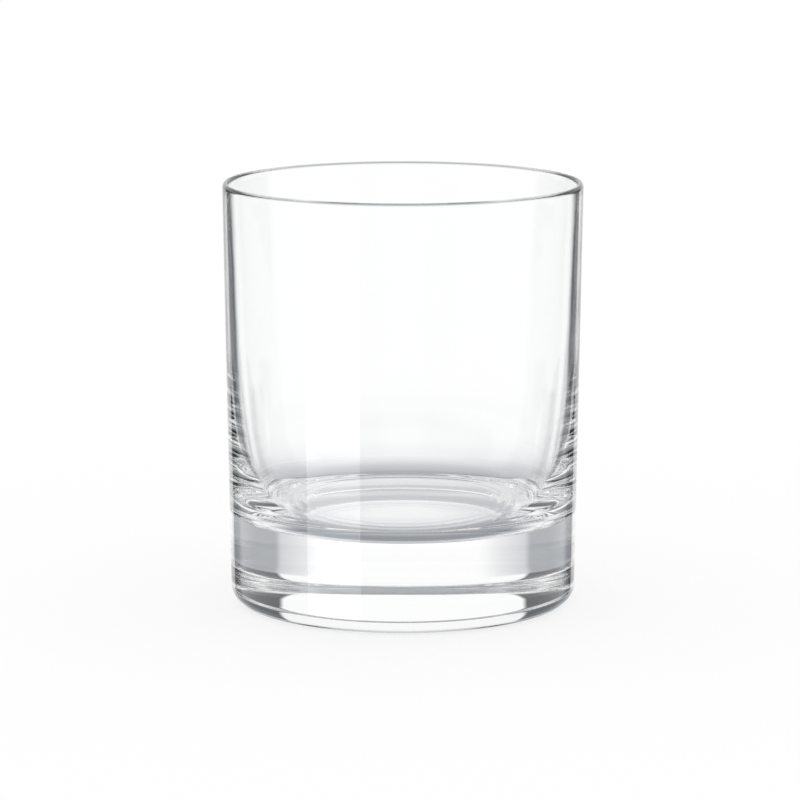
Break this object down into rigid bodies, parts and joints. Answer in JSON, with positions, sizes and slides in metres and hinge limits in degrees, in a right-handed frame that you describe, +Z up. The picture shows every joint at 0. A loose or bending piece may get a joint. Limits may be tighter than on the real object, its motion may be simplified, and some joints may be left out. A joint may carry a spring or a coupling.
{
  "type": "rocks glass",
  "caption": "Clear straight-sided tumbler with a rounded lip, a thin tapered bowl and a thick solid base, for drinks over ice.",
  "frame": {"origin": "centre of the flat ring that the glass stands on", "axes": "+Z up along the axis of the glass, from the base to the lip"},
  "size_m": [0.08, 0.08, 0.0945],
  "materials": {
    "clear_glass": "clear polished soda-lime glass"
  },
  "bodies": {
    "root": {"base": "clear_glass", "bowl": "clear_glass", "lip": "clear_glass"}
  },
  "joints": []
}
